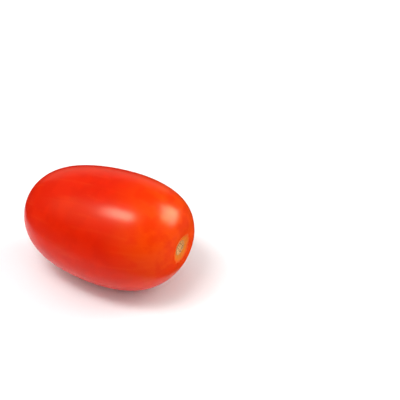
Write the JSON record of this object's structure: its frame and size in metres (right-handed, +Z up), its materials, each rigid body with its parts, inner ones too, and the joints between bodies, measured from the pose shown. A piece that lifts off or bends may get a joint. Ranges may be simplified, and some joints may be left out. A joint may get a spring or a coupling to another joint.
{
  "type": "plum tomato",
  "caption": "Whole ripe plum tomato lying on its side: oblong, glossy red, with a corky stem scar in a shallow basin at one end and a small pit at the other.",
  "frame": {"origin": "on the surface that the fruit rests on, under the middle of its box", "axes": "+X along the fruit towards its stem end, +Z up"},
  "size_m": [0.0714, 0.049, 0.0467],
  "materials": {
    "tomato_skin": "smooth waxy skin with a soft gloss, orange-red, deeper red towards the blossom end",
    "stem_scar": "dry matt cork, tan, with dark brown specks"
  },
  "bodies": {
    "root": {"tomato": "tomato_skin"}
  },
  "joints": []
}
